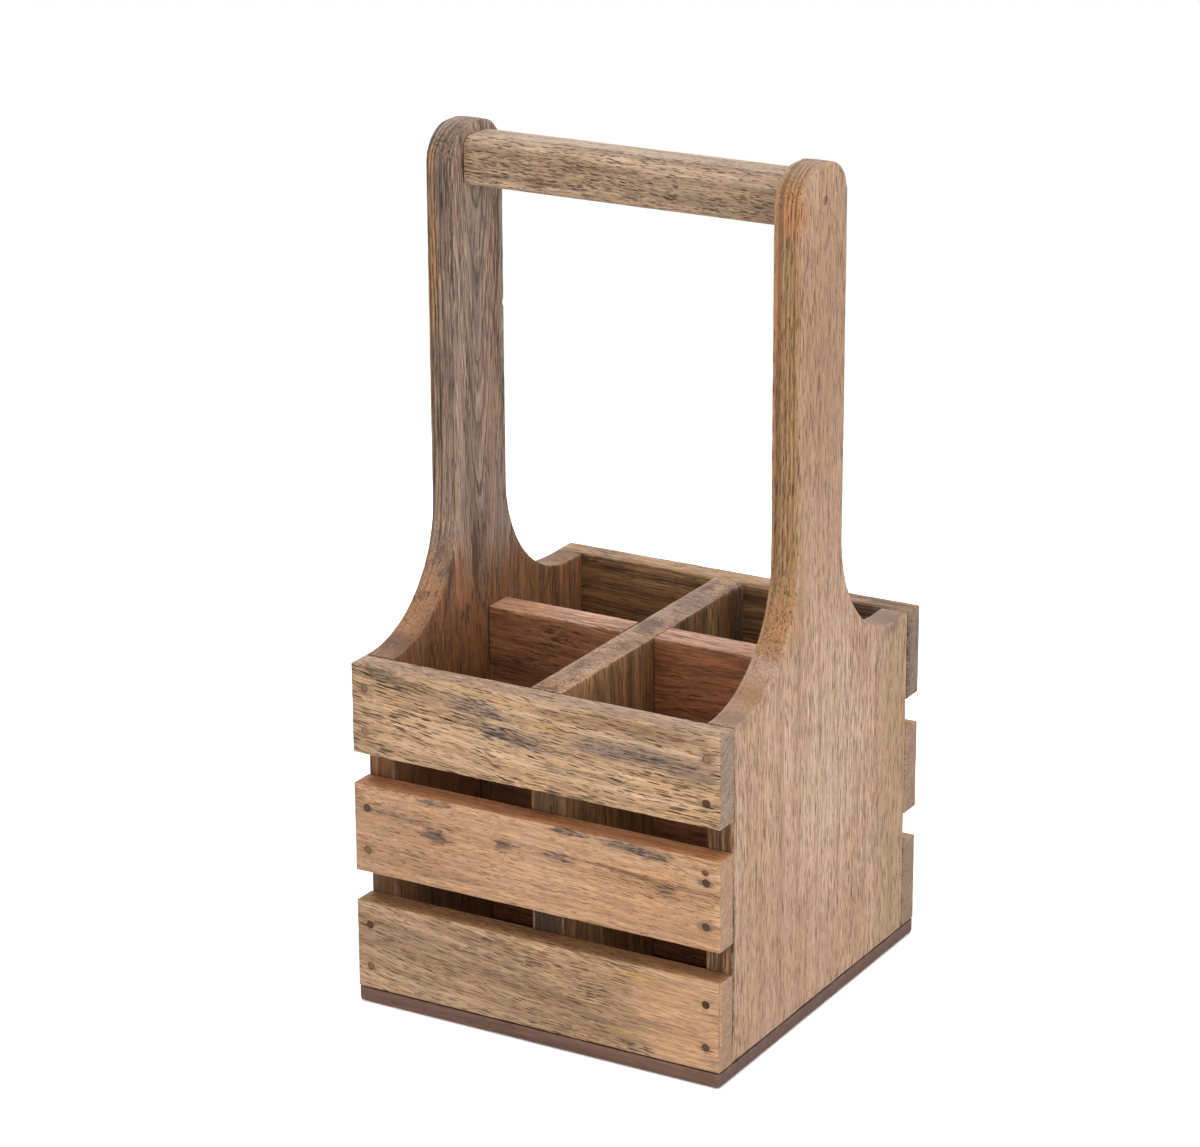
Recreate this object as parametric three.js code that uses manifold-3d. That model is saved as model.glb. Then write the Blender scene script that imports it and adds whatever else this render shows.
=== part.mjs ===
// Wooden cutlery caddy: a slatted box with four compartments, hung between two tall side panels that carry
// a rail to lift it by. The boards are butted, cross-lapped and nailed.
// Millimetres, +Z up, +X to the right, the front towards -Y. The origin is the middle of the underside.

import * as THREE from "three";
import { mergeVertices } from "three/addons/utils/BufferGeometryUtils.js";
import loadManifold from "manifold-3d";

// Overall sizes
const overallHeight = 279.4;
const boxWidth = 133;
const boxDepth = 137;

// Base board
const baseThickness = 5.2;
const baseCornerRadius = 2.5;

// Slats on the front and the rear
const slatRows = ["bottom", "middle", "top"];
const slatHeight = 30.5;
const slatGap = 10.1;
const slatThickness = 8.8;
const slatCornerRadius = 0.9;

// Side panels: a rectangle below, round shoulders, and an upright with a round head
const panelThickness = 10;
const uprightWidth = 30.2;
const uprightForward = 4;
const shoulderRadius = 40;
const headRadius = 12.3;

// Handle rail between the uprights
const railDepth = 17.6;
const railHeight = 15.8;
const railDrop = 3.4;
const railTopRadius = 4.2;
const railBottomRadius = 2.4;

// Dividers, cross-lapped where they meet
const dividerThickness = 11.5;
const crossDividerBack = 4;

// Nails
const nailHeadDiameter = 2.7;
const nailHeadThickness = 1;
const nailShankDiameter = 1.7;
const nailPointLength = 3;
const nailCrown = 0.3;
const slatNailLength = 25;
const slatNailEdge = 8;
const railNailLength = 32;
const baseNailLength = 20;
const baseNailsPerSide = 3;

// Fits and edges
const glueLine = 0.2;
const lapClearance = 0.3;
const nailSet = 0.3;
const nailClearance = 0.15;
const nailSpacing = 8;
const easedEdge = 0.6;

// Fineness of round stretches
const easedSteps = 2;
const cornerSteps = 3;
const railSteps = 5;
const panelSteps = 12;
const nailSides = 8;
const weldDistance = 1e-4;

// Sizes that follow from those above
const slatPitch = slatHeight + slatGap;
const seatHeight = baseThickness + glueLine;
const boxTop = seatHeight + slatPitch * (slatRows.length - 1) + slatHeight;
const panelDepth = boxDepth - 2 * (slatThickness + glueLine);
const innerWidth = boxWidth - 2 * panelThickness;
const dividerHeight = boxTop - seatHeight;
const panelMiddle = (boxWidth - panelThickness) / 2;
const railMiddle = overallHeight - railDrop - railHeight / 2;

// A board's own X, Y and thickness axes, as they stand in the caddy
const acrossTheFront = new THREE.Matrix4().makeBasis(
  new THREE.Vector3(1, 0, 0),
  new THREE.Vector3(0, 0, 1),
  new THREE.Vector3(0, -1, 0),
);
const alongTheSide = new THREE.Matrix4().makeBasis(
  new THREE.Vector3(0, 1, 0),
  new THREE.Vector3(0, 0, 1),
  new THREE.Vector3(1, 0, 0),
);

const finishes = {
  base: { color: 0x6f5143, roughness: 0.75 },
  leftPanel: { color: 0x8f6849, roughness: 0.6 },
  rightPanel: { color: 0xc39875, roughness: 0.6 },
  rail: { color: 0xb28b68, roughness: 0.55 },
  bottomSlat: { color: 0xa98159, roughness: 0.6 },
  middleSlat: { color: 0xbc865a, roughness: 0.6 },
  topSlat: { color: 0xb38c60, roughness: 0.6 },
  lengthDivider: { color: 0x967352, roughness: 0.65 },
  crossDivider: { color: 0x9c6749, roughness: 0.65 },
  nail: { color: 0x4a342a, roughness: 0.5, metalness: 0.8 },
};

const caddy = new THREE.Group();
const boards = [];

function material(finish) {
  return new THREE.MeshStandardMaterial({ metalness: 0, ...finish });
}

// A closed mesh as a solid for cutting, and back again
const wasm = await loadManifold();
wasm.setup();

function toSolid(geometry) {
  const bare = geometry.clone();
  bare.deleteAttribute("normal");
  bare.deleteAttribute("uv");
  const welded = mergeVertices(bare, weldDistance);
  const vertProperties = Float32Array.from(welded.attributes.position.array);
  const triVerts = Uint32Array.from(welded.index.array);
  return new wasm.Manifold(new wasm.Mesh({ numProp: 3, vertProperties, triVerts }));
}

function toGeometry(solid) {
  const mesh = solid.getMesh();
  const geometry = new THREE.BufferGeometry();
  geometry.setAttribute("position", new THREE.BufferAttribute(mesh.vertProperties, 3));
  geometry.setIndex(new THREE.BufferAttribute(mesh.triVerts, 1));
  geometry.computeVertexNormals();
  return geometry;
}

// A board sawn to an outline, its faces' edges eased, with the middle of its thickness at its own zero
function sawn(outline, thickness, curveSegments) {
  const geometry = new THREE.ExtrudeGeometry(outline, {
    depth: thickness - 2 * easedEdge,
    bevelThickness: easedEdge,
    bevelSize: easedEdge,
    bevelOffset: -easedEdge,
    bevelSegments: easedSteps,
    curveSegments,
  });
  return geometry.translate(0, 0, easedEdge - thickness / 2);
}

function addBoard(name, geometry, finish, axes, x, y, z) {
  const board = new THREE.Mesh(geometry, material(finish));
  board.name = name;
  board.position.set(x, y, z);
  board.setRotationFromMatrix(axes);
  board.userData.bores = [];
  boards.push(board);
  caddy.add(board);
  return board;
}

function roundedRectangle(width, height, radius) {
  const x = width / 2 - radius;
  const y = height / 2 - radius;
  const shape = new THREE.Shape();
  shape.absarc(x, y, radius, 0, Math.PI / 2);
  shape.absarc(-x, y, radius, Math.PI / 2, Math.PI);
  shape.absarc(-x, -y, radius, Math.PI, 1.5 * Math.PI);
  shape.absarc(x, -y, radius, 1.5 * Math.PI, 2 * Math.PI);
  return shape;
}

// Outline of a side panel, seen from the right: its own X runs to the back and its Y up from the base
function panelOutline() {
  const shoulder = boxTop - seatHeight;
  const top = overallHeight - seatHeight;
  const edge = panelDepth / 2;
  const rear = uprightWidth / 2 - uprightForward;
  const front = -uprightWidth / 2 - uprightForward;
  const rearRound = Math.min(shoulderRadius, edge - rear);
  const frontRound = Math.min(shoulderRadius, edge + front);
  const head = Math.min(headRadius, uprightWidth / 2);
  const shape = new THREE.Shape();
  shape.moveTo(-edge, 0);
  shape.lineTo(edge, 0);
  shape.lineTo(edge, shoulder);
  shape.absarc(rear + rearRound, shoulder + rearRound, rearRound, -Math.PI / 2, -Math.PI, true);
  shape.absarc(rear - head, top - head, head, 0, Math.PI / 2);
  shape.absarc(front + head, top - head, head, Math.PI / 2, Math.PI);
  shape.absarc(front - frontRound, shoulder + frontRound, frontRound, 0, -Math.PI / 2, true);
  shape.lineTo(-edge, shoulder);
  shape.closePath();
  return shape;
}

// Section of the rail: its own X runs to the back and its Y up, with a fuller round on top for the hand
function railSection() {
  const x = railDepth / 2;
  const y = railHeight / 2;
  const shape = new THREE.Shape();
  shape.absarc(x - railTopRadius, y - railTopRadius, railTopRadius, 0, Math.PI / 2);
  shape.absarc(railTopRadius - x, y - railTopRadius, railTopRadius, Math.PI / 2, Math.PI);
  shape.absarc(railBottomRadius - x, railBottomRadius - y, railBottomRadius, Math.PI, 1.5 * Math.PI);
  shape.absarc(x - railBottomRadius, railBottomRadius - y, railBottomRadius, 1.5 * Math.PI, 2 * Math.PI);
  return shape;
}

// Outline of a divider with its half of the cross lap: the slot is open at the top or at the bottom
function dividerOutline(length, slotAt, slotAtTop) {
  const half = length / 2;
  const slotLow = slotAt - dividerThickness / 2 - lapClearance;
  const slotHigh = slotAt + dividerThickness / 2 + lapClearance;
  const mouth = slotAtTop ? dividerHeight : 0;
  const slotEnd = dividerHeight / 2 + (slotAtTop ? -lapClearance : lapClearance) / 2;
  const slot = [
    [slotLow, mouth],
    [slotLow, slotEnd],
    [slotHigh, slotEnd],
    [slotHigh, mouth],
  ];
  const below = [[-half, 0], ...(slotAtTop ? [] : slot), [half, 0]];
  const above = [[half, dividerHeight], ...(slotAtTop ? slot.reverse() : []), [-half, dividerHeight]];
  return new THREE.Shape([...below, ...above].map(([x, y]) => new THREE.Vector2(x, y)));
}

// A nail along its own Y: the head's top at zero and the point below
function nailProfile(length) {
  const shank = nailShankDiameter / 2;
  const head = nailHeadDiameter / 2;
  return [
    new THREE.Vector2(0, -length),
    new THREE.Vector2(shank, nailPointLength - length),
    new THREE.Vector2(shank, -nailHeadThickness),
    new THREE.Vector2(head, -nailHeadThickness),
    new THREE.Vector2(head, -nailCrown),
    new THREE.Vector2(head - nailCrown, 0),
    new THREE.Vector2(0, 0),
  ];
}

// The hole that a nail makes, open above its sunk head
function boreProfile(length) {
  const shank = nailShankDiameter / 2 + nailClearance;
  const head = nailHeadDiameter / 2 + nailClearance;
  const seat = -nailHeadThickness - nailClearance;
  const open = nailSet + easedEdge;
  return [
    new THREE.Vector2(0, -length - nailClearance),
    new THREE.Vector2(shank, -length - nailClearance),
    new THREE.Vector2(shank, seat),
    new THREE.Vector2(head, seat),
    new THREE.Vector2(head, open),
    new THREE.Vector2(0, open),
  ];
}

// Sets a nail's head below the surface at a place, driven along a direction through the boards given
function driveNail(name, length, place, direction, throughBoards) {
  const geometry = new THREE.LatheGeometry(nailProfile(length), nailSides);
  const nail = new THREE.Mesh(geometry, material(finishes.nail));
  nail.name = name;
  nail.quaternion.setFromUnitVectors(new THREE.Vector3(0, -1, 0), direction);
  nail.position.copy(place).addScaledVector(direction, nailSet);
  nail.updateMatrix();
  caddy.add(nail);
  for (const board of throughBoards) {
    board.updateMatrix();
    const toBoard = board.matrix.clone().invert().multiply(nail.matrix);
    const bore = new THREE.LatheGeometry(boreProfile(length), nailSides);
    board.userData.bores.push(bore.applyMatrix4(toBoard));
  }
}

// Base board, flush with the box all round
const base = addBoard(
  "base_panel",
  sawn(roundedRectangle(boxWidth, boxDepth, baseCornerRadius), baseThickness, cornerSteps),
  finishes.base,
  new THREE.Matrix4(),
  0,
  0,
  baseThickness / 2,
);

// Side panels, standing on the base, with nails up through it
const sides = [
  { side: "left", sign: -1, finish: finishes.leftPanel },
  { side: "right", sign: 1, finish: finishes.rightPanel },
];
const baseNailSpan = panelDepth - 2 * (slatNailLength - slatThickness + nailSpacing);
for (const entry of sides) {
  const panel = sawn(panelOutline(), panelThickness, panelSteps);
  const x = entry.sign * panelMiddle;
  entry.panel = addBoard(`${entry.side}_side_panel`, panel, entry.finish, alongTheSide, x, 0, seatHeight);
  for (let i = 0; i < baseNailsPerSide; i++) {
    const y = baseNailSpan * (i / (baseNailsPerSide - 1) - 0.5);
    const place = new THREE.Vector3(x, y, 0);
    const name = `base_nail_${entry.side}_${i + 1}`;
    driveNail(name, baseNailLength, place, new THREE.Vector3(0, 0, 1), [base, entry.panel]);
  }
}

// Handle rail between the uprights, with a nail into each end
const railLength = innerWidth - 2 * glueLine;
const railGeometry = new THREE.ExtrudeGeometry(railSection(), {
  depth: railLength,
  bevelEnabled: false,
  curveSegments: railSteps,
});
railGeometry.translate(0, 0, -railLength / 2);
const railY = -uprightForward;
const rail = addBoard("handle_rail", railGeometry, finishes.rail, alongTheSide, 0, railY, railMiddle);
for (const { side, sign, panel } of sides) {
  const place = new THREE.Vector3((sign * boxWidth) / 2, railY, railMiddle);
  const inward = new THREE.Vector3(-sign, 0, 0);
  driveNail(`rail_nail_${side}`, railNailLength, place, inward, [panel, rail]);
}

// Slats across the front and rear edges of the side panels, two nails at each end
const slatOutline = roundedRectangle(boxWidth, slatHeight, slatCornerRadius);
const slatFinishes = [finishes.bottomSlat, finishes.middleSlat, finishes.topSlat];
for (const [face, sign] of [["front", -1], ["rear", 1]]) {
  const faceY = (sign * boxDepth) / 2;
  const inward = new THREE.Vector3(0, -sign, 0);
  slatRows.forEach((row, level) => {
    const y = faceY - (sign * slatThickness) / 2;
    const z = seatHeight + slatPitch * level + slatHeight / 2;
    const name = `${face}_slat_${row}`;
    const geometry = sawn(slatOutline, slatThickness, cornerSteps);
    const slat = addBoard(name, geometry, slatFinishes[level], acrossTheFront, 0, y, z);
    for (const { side, sign: end, panel } of sides) {
      for (const [height, step] of [["lower", -1], ["upper", 1]]) {
        const place = new THREE.Vector3(end * panelMiddle, faceY, z + step * (slatHeight / 2 - slatNailEdge));
        driveNail(`${name}_nail_${side}_${height}`, slatNailLength, place, inward, [slat, panel]);
      }
    }
  });
}

// Dividers: the lengthwise one is whole along its top, the cross one along its bottom
const lengthwise = dividerOutline(panelDepth, crossDividerBack, false);
addBoard(
  "front_to_back_divider",
  sawn(lengthwise, dividerThickness, cornerSteps),
  finishes.lengthDivider,
  alongTheSide,
  0,
  0,
  seatHeight,
);
const crosswise = dividerOutline(innerWidth - 2 * glueLine, 0, true);
addBoard(
  "cross_divider",
  sawn(crosswise, dividerThickness, cornerSteps),
  finishes.crossDivider,
  acrossTheFront,
  0,
  crossDividerBack,
  seatHeight,
);

// The nails' holes
for (const board of boards) {
  const uncut = toSolid(board.geometry);
  const bored = board.userData.bores.reduce((solid, bore) => solid.subtract(toSolid(bore)), uncut);
  board.geometry = toGeometry(bored);
  board.userData = {};
}

export default caddy;
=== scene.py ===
import math
from types import SimpleNamespace

import bmesh
import bpy
from mathutils import Matrix, Quaternion, Vector


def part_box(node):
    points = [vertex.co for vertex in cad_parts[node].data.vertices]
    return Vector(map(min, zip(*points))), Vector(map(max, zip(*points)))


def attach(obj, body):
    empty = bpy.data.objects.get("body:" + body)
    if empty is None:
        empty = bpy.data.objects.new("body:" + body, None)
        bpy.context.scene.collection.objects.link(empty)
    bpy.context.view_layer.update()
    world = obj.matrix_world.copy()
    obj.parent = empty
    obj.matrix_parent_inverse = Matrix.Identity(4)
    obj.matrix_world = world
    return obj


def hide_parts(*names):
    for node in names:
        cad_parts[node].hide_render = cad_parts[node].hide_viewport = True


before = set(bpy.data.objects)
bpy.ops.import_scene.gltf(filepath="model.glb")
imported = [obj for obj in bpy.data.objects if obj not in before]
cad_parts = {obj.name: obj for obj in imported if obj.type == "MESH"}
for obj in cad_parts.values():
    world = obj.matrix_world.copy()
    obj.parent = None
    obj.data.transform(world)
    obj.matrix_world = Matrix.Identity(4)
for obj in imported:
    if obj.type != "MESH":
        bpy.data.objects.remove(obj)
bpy.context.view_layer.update()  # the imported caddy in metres, +Z up, front towards -Y
mm = 0.001
print("frame loaded,", len(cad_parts), "nodes")


def deselect():
    bpy.ops.object.select_all(action="DESELECT")


# camera where the photograph was taken
camera = {
    "place": Vector((0.59330, -1.04533, 0.55182)),
    "aim": Vector((-0.01122, -0.00653, 0.13733)),
    "roll": -0.311,  # degrees
    "lens": 119.287,
    "sensor": 36.0,
    "reach": 100,  # metres
}


def setCamera():
    deselect()
    bpy.ops.object.camera_add(location=camera["place"])
    eye = bpy.context.active_object
    eye.name = "photoCamera"
    eye.rotation_mode = "QUATERNION"
    look = (camera["aim"] - camera["place"]).to_track_quat("-Z", "Y")
    eye.rotation_quaternion = look @ Quaternion((0, 0, 1), math.radians(camera["roll"]))
    eye.data.sensor_width = camera["sensor"]
    eye.data.lens = camera["lens"]
    eye.data.clip_end = camera["reach"]
    bpy.context.scene.camera = eye


setCamera()

# node tools for the materials


def tone(red, green, blue):  # a screen colour, 0 to 255, as the shader takes it
    parts = [c / 255 for c in (red, green, blue)]
    return tuple(c / 12.92 if c <= 0.04045 else ((c + 0.055) / 1.055) ** 2.4 for c in parts) + (1.0,)


def nodeKit(tree):
    def put(kind, sockets, **settings):
        made = tree.nodes.new("ShaderNode" + kind)
        for key, value in settings.items():
            setattr(made, key, value)
        for key, value in sockets.items():
            if isinstance(value, bpy.types.NodeSocket):
                tree.links.new(value, made.inputs[key])
            else:
                made.inputs[key].default_value = value
        return made

    def vector(operation, first, second):
        return put("VectorMath", {0: first, 1: second}, operation=operation).outputs[0]

    def length(first):
        return put("VectorMath", {0: first}, operation="LENGTH").outputs["Value"]

    def along(first, axis):
        return put("VectorMath", {0: first, 1: axis}, operation="DOT_PRODUCT").outputs["Value"]

    def number(operation, first, second=0.0):
        return put("Math", {0: first, 1: second}, operation=operation).outputs[0]

    def noise(place, detail=2.0, roughness=0.5, output="Fac"):
        sockets = {"Vector": place, "Scale": 1.0, "Detail": detail, "Roughness": roughness}
        return put("TexNoise", sockets).outputs[output]

    def lineNoise(distance, detail=2.0, roughness=0.5):
        sockets = {"W": distance, "Scale": 1.0, "Detail": detail, "Roughness": roughness}
        return put("TexNoise", sockets, noise_dimensions="1D").outputs["Fac"]

    def cells(place):
        found = put("TexVoronoi", {"Vector": place, "Scale": 1.0}).outputs
        return found["Distance"], along(found["Color"], (1, 0, 0)), along(found["Color"], (0, 1, 0))

    def ramp(value, low, high, toLow=0.0, toHigh=1.0):
        sockets = {"Value": value, "From Min": low, "From Max": high, "To Min": toLow, "To Max": toHigh}
        return put("MapRange", sockets, interpolation_type="SMOOTHSTEP").outputs[0]

    def blend(share, under, over):  # the node's colours are its sockets 6 and 7 and its output 2
        return put("Mix", {0: share, 6: under, 7: over}, data_type="RGBA").outputs[2]

    return SimpleNamespace(put=put, vector=vector, length=length, along=along, number=number, noise=noise,
                           lineNoise=lineNoise, cells=cells, ramp=ramp, blend=blend)


def newMaterial(name):
    material = bpy.data.materials.new(name)
    material.use_nodes = True
    tree = material.node_tree
    return material, tree.nodes["Principled BSDF"], nodeKit(tree)


# white paper floor, white room and four soft lamps
studio = {
    "floorSize": 14.0,
    "floorBounce": 0.80,  # what the floor throws back on the caddy
    "floorShown": 1.75,  # lifts the lit floor to paper white for the camera
    "floorFade": (0.32, 0.85),  # from there on the camera sees plain white
    "roomLight": 0.36,
    "lampAim": Vector((0, 0, 0.11)),
    "lamps": [  # name, place, size, watts
        ("rightLamp", (1.75, -0.60, 0.60), 1.2, 20.0),
        ("frontLamp", (-0.50, -1.90, 0.45), 1.0, 11.0),
        ("overheadLamp", (0.10, 0.00, 1.90), 1.6, 20.0),
        ("rearLamp", (-1.30, 1.70, 0.45), 1.2, 9.0),
    ],
}


def lightStudio():
    deselect()
    bpy.ops.mesh.primitive_plane_add(size=studio["floorSize"])
    floor = bpy.context.active_object
    floor.name = "paperFloor"
    paper, shader, kit = newMaterial("whitePaper")
    seen = kit.put("LightPath", {}).outputs["Is Camera Ray"]
    bounce, shown = [(studio[key],) * 3 + (1.0,) for key in ("floorBounce", "floorShown")]
    matt = kit.put("BsdfDiffuse", {"Color": kit.blend(seen, bounce, shown)}).outputs[0]
    white = kit.put("Emission", {"Color": (1, 1, 1, 1), "Strength": 1.0}).outputs[0]
    away = kit.ramp(kit.length(kit.put("TexCoord", {}).outputs["Object"]), *studio["floorFade"])
    faded = kit.put("MixShader", {0: kit.number("MULTIPLY", seen, away), 1: matt, 2: white}).outputs[0]
    tree = paper.node_tree
    tree.links.new(faded, tree.nodes["Material Output"].inputs["Surface"])
    tree.nodes.remove(shader)
    floor.data.materials.append(paper)

    room = bpy.data.worlds.new("whiteRoom")
    bpy.context.scene.world = room
    room.use_nodes = True
    kit = nodeKit(room.node_tree)
    rays = kit.put("LightPath", {}).outputs
    shownRay = kit.number("MAXIMUM", rays["Is Camera Ray"], rays["Is Glossy Ray"])
    shownRay = kit.number("MAXIMUM", shownRay, rays["Is Transmission Ray"])
    walls = room.node_tree.nodes["Background"]
    walls.inputs["Color"].default_value = (1, 1, 1, 1)
    strength = kit.ramp(shownRay, 0.0, 1.0, studio["roomLight"], 1.0)
    room.node_tree.links.new(strength, walls.inputs["Strength"])

    for name, place, size, watts in studio["lamps"]:
        bpy.ops.object.light_add(type="AREA", location=place)
        lamp = bpy.context.active_object
        lamp.name = name
        lamp.data.size = size
        lamp.data.energy = watts
        lamp.rotation_mode = "QUATERNION"
        lamp.rotation_quaternion = (studio["lampAim"] - Vector(place)).to_track_quat("-Z", "Y")
    bpy.context.scene.view_settings.view_transform = "Standard"


lightStudio()
print("camera, floor and lamps set")

# saw, plane, chisel and sandpaper
bench = {
    "scoreStep": 2.6 * mm,  # how finely a board is divided for its wear
    "sameSpot": 0.01 * mm,
    "square": 0.99,  # cosine over which two directions count as one
    "flatTurn": 0.5,  # degrees between two faces: under it they are one plane
    "arrisTurn": 12.0,  # over it they make an arris
    "sharpTurn": 60.0,  # over it the edge is still as sawn
    "smoothTurn": 38.0,  # under it they are shaded as one
    "waveCloud": (0.032, 1),  # size and depth
    "waves": 0.15 * mm,
    "dentCloud": (0.0060, 2),
    "dents": 0.24 * mm,
    "holeRadius": 1.39 * mm,
    "holeDepth": 1.35 * mm,
    "holeSides": 28,
}


def cloudTexture(name, size, depth):
    texture = bpy.data.textures.new(name, "CLOUDS")
    texture.noise_scale = size
    texture.noise_depth = depth
    return texture


planeWaves = cloudTexture("planeWaves", *bench["waveCloud"])
arrisDents = cloudTexture("arrisDents", *bench["dentCloud"])


def solo(piece):
    deselect()
    piece.select_set(True)
    bpy.context.view_layer.objects.active = piece


def sawBlank(name, low, high):
    deselect()
    bpy.ops.mesh.primitive_cube_add(size=1, location=(low + high) / 2)
    blank = bpy.context.active_object
    blank.name = name
    blank.data.name = name
    blank.scale = high - low
    bpy.ops.object.transform_apply(location=True, rotation=True, scale=True)
    return blank


def pick(piece, kind, test):  # stays in edit mode with what passes the test selected
    solo(piece)
    bpy.ops.object.mode_set(mode="EDIT")
    bpy.ops.mesh.select_mode(type=kind)
    bpy.ops.mesh.select_all(action="DESELECT")
    mesh = bmesh.from_edit_mesh(piece.data)
    mesh.normal_update()
    for item in {"EDGE": mesh.edges, "FACE": mesh.faces}[kind]:
        if test(item):
            item.select_set(True)
    bmesh.update_edit_mesh(piece.data)


def release():
    bpy.ops.object.mode_set(mode="OBJECT")


def roundEdges(piece, test, radius, steps):
    pick(piece, "EDGE", test)
    bpy.ops.mesh.bevel(offset=radius, offset_type="OFFSET", segments=steps, affect="EDGES",
                       clamp_overlap=False)
    release()


def middle(edge):
    return (edge.verts[0].co + edge.verts[1].co) / 2


def runs(edge, axis):  # the edge lies along that axis
    step = edge.verts[1].co - edge.verts[0].co
    return abs(step[axis]) > bench["square"] * step.length


def near(first, second):
    return abs(first - second) < bench["sameSpot"]


def sharp(edge):
    return len(edge.link_faces) == 2 and edge.calc_face_angle(0) > math.radians(bench["sharpTurn"])


def bisectAt(axis, place):
    normal = Vector((0, 0, 0))
    normal[axis] = 1
    bpy.ops.mesh.select_all(action="SELECT")
    bpy.ops.mesh.bisect(plane_co=normal * place, plane_no=normal)


def meshBox(piece):
    corners = [v.co for v in piece.data.vertices]
    return Vector(map(min, *corners)), Vector(map(max, *corners))


def score(piece, axes):  # even divisions that the wear can follow
    low, high = meshBox(piece)
    solo(piece)
    bpy.ops.object.mode_set(mode="EDIT")
    for axis in axes:
        count = max(2, round((high[axis] - low[axis]) / bench["scoreStep"]))
        for i in range(1, count):
            bisectAt(axis, low[axis] + (high[axis] - low[axis]) * i / count)
    release()


def applyModifier(piece, kind, **settings):
    solo(piece)
    modifier = piece.modifiers.new("shape", kind)
    for key, value in settings.items():
        setattr(modifier, key, value)
    bpy.ops.object.modifier_apply(modifier=modifier.name)


def cutAway(piece, cutter):
    applyModifier(piece, "BOOLEAN", operation="DIFFERENCE", object=cutter, solver="EXACT")
    bpy.data.objects.remove(cutter)


def weather(piece, share=1.0):  # hand planing on the faces, sanding and knocks on the arrises
    mesh = bmesh.new()
    mesh.from_mesh(piece.data)
    turn = math.radians(bench["arrisTurn"])
    arris = [v.index for v in mesh.verts if any(e.calc_face_angle(0) > turn for e in v.link_edges)]
    mesh.free()
    piece.vertex_groups.new(name="arris").add(arris, 1.0, "REPLACE")
    worn = piece.data.attributes.new("arrisWear", "FLOAT", "POINT")
    for index in arris:
        worn.data[index].value = 1.0
    inward = {"texture_coords": "LOCAL", "mid_level": 1.0}
    applyModifier(piece, "DISPLACE", texture=planeWaves, strength=bench["waves"] * share, **inward)
    dents = bench["dents"] * share
    applyModifier(piece, "DISPLACE", texture=arrisDents, strength=dents, vertex_group="arris", **inward)
    piece.vertex_groups.clear()


def nailAxis(node):  # middle of a nail's head, the way it faces, and its length
    low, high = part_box(node)
    extent = high - low
    axis = max(range(3), key=lambda i: extent[i])
    head = (low + high) / 2
    outward = Vector((0, 0, 0))
    outward[axis] = 1 if axis != 2 and head[axis] > 0 else -1  # those under the base face down
    head[axis] = high[axis] if outward[axis] > 0 else low[axis]
    return head, outward, extent[axis]


def setting(place, outward):  # takes what stands on Z to that place, facing outward
    return Matrix.Translation(place) @ outward.to_track_quat("Z", "Y").to_matrix().to_4x4()


def drillHole(piece, place, outward, radius, depth):
    deselect()
    bpy.ops.mesh.primitive_cylinder_add(vertices=bench["holeSides"], radius=radius, depth=2 * depth)
    cutter = bpy.context.active_object
    cutter.data.transform(setting(place, outward))
    cutAway(piece, cutter)


def sinkNails(piece, nails):
    for node in nails:
        head, outward = nailAxis(node)[:2]
        drillHole(piece, head, outward, bench["holeRadius"], bench["holeDepth"])


def chisel(piece, place, size, tilt):  # a nick with tapered ends, millimetres, and degrees about X
    deselect()
    bpy.ops.mesh.primitive_ico_sphere_add(subdivisions=2, radius=mm)
    cutter = bpy.context.active_object
    turn = Quaternion((1, 0, 0), math.radians(tilt))
    cutter.data.transform(Matrix.LocRotScale(Vector(place) * mm, turn, Vector(size)))
    cutAway(piece, cutter)


def copyOf(pattern, name):
    piece = pattern.copy()
    piece.data = pattern.data.copy()
    piece.name = name
    bpy.context.collection.objects.link(piece)
    return piece


def handOver(piece, node, material):
    solo(piece)
    bpy.ops.object.shade_smooth_by_angle(angle=math.radians(bench["smoothTurn"]))
    piece.data.materials.clear()
    piece.data.materials.append(material)
    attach(piece, "root")
    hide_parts(node)


# mango wood: one recipe, and a look for each board, lengths in millimetres
# turn brings the grain onto X, slide takes another part of the log, bow bends the grain
upGrain = (0, 90, 0)  # degrees: the board stands with its grain upright

plainLook = {
    "turn": (0, 0, 0),
    "slide": (0, 0, 0),
    "bow": (0, 0, (0, 0, 1)),
    "waver": 5.0,
    "pith": (70, 40),
    "cone": 0.02,
    "ringSize": 5.0,
    "light": (208, 172, 134),
    "mid": (184, 146, 110),
    "dark": (120, 92, 68),
    "cloud": (205, 165, 110),
    "cloudShare": 0.4,
    "streakShare": 0.4,
    "lineShare": 0.2,
    "fibreShare": 0.26,
    "stripeShare": 0.18,
    "pore": (6.0, 0.48, 0.40),  # cell along the grain, across it, and the dash's share of the cell
    "poreTone": (66, 42, 26),
    "poreShare": 0.85,
    "hairShare": 0.55,
    "crowd": (0.64, 1.27),  # size of the vessels where they are few and where they are many
    "clear": None,  # middle and half size of a stretch with few vessels
    "endCalm": 0.3,  # how far vessels and figure fade on sawn ends
    "sawMarks": 0.0,
    "pale": (214, 182, 150),
    "paleShare": 0.3,
    "edgeAxis": None,  # the board's thin direction, where its edges show straight lines
    "edgePore": (76, 54, 40),
    "edgeShare": 0.5,
    "edgeRise": (132, 164),  # height at which the lines along an edge begin
    "wisp": (6.0, 0.60),  # length and thickness of the dashes in a wisp
    "stainGround": 0.0,  # share of the paler stain under a wisp
    "foot": None,  # tone, side that stays clear of it, heights where it starts and is full, share
    "faces": (),  # axis, tone, share: what faces along that axis show
    "blots": (),  # middle, half size, turn in degrees, tone, share, softness: under 0.5 breaks into wisps
}

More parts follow.
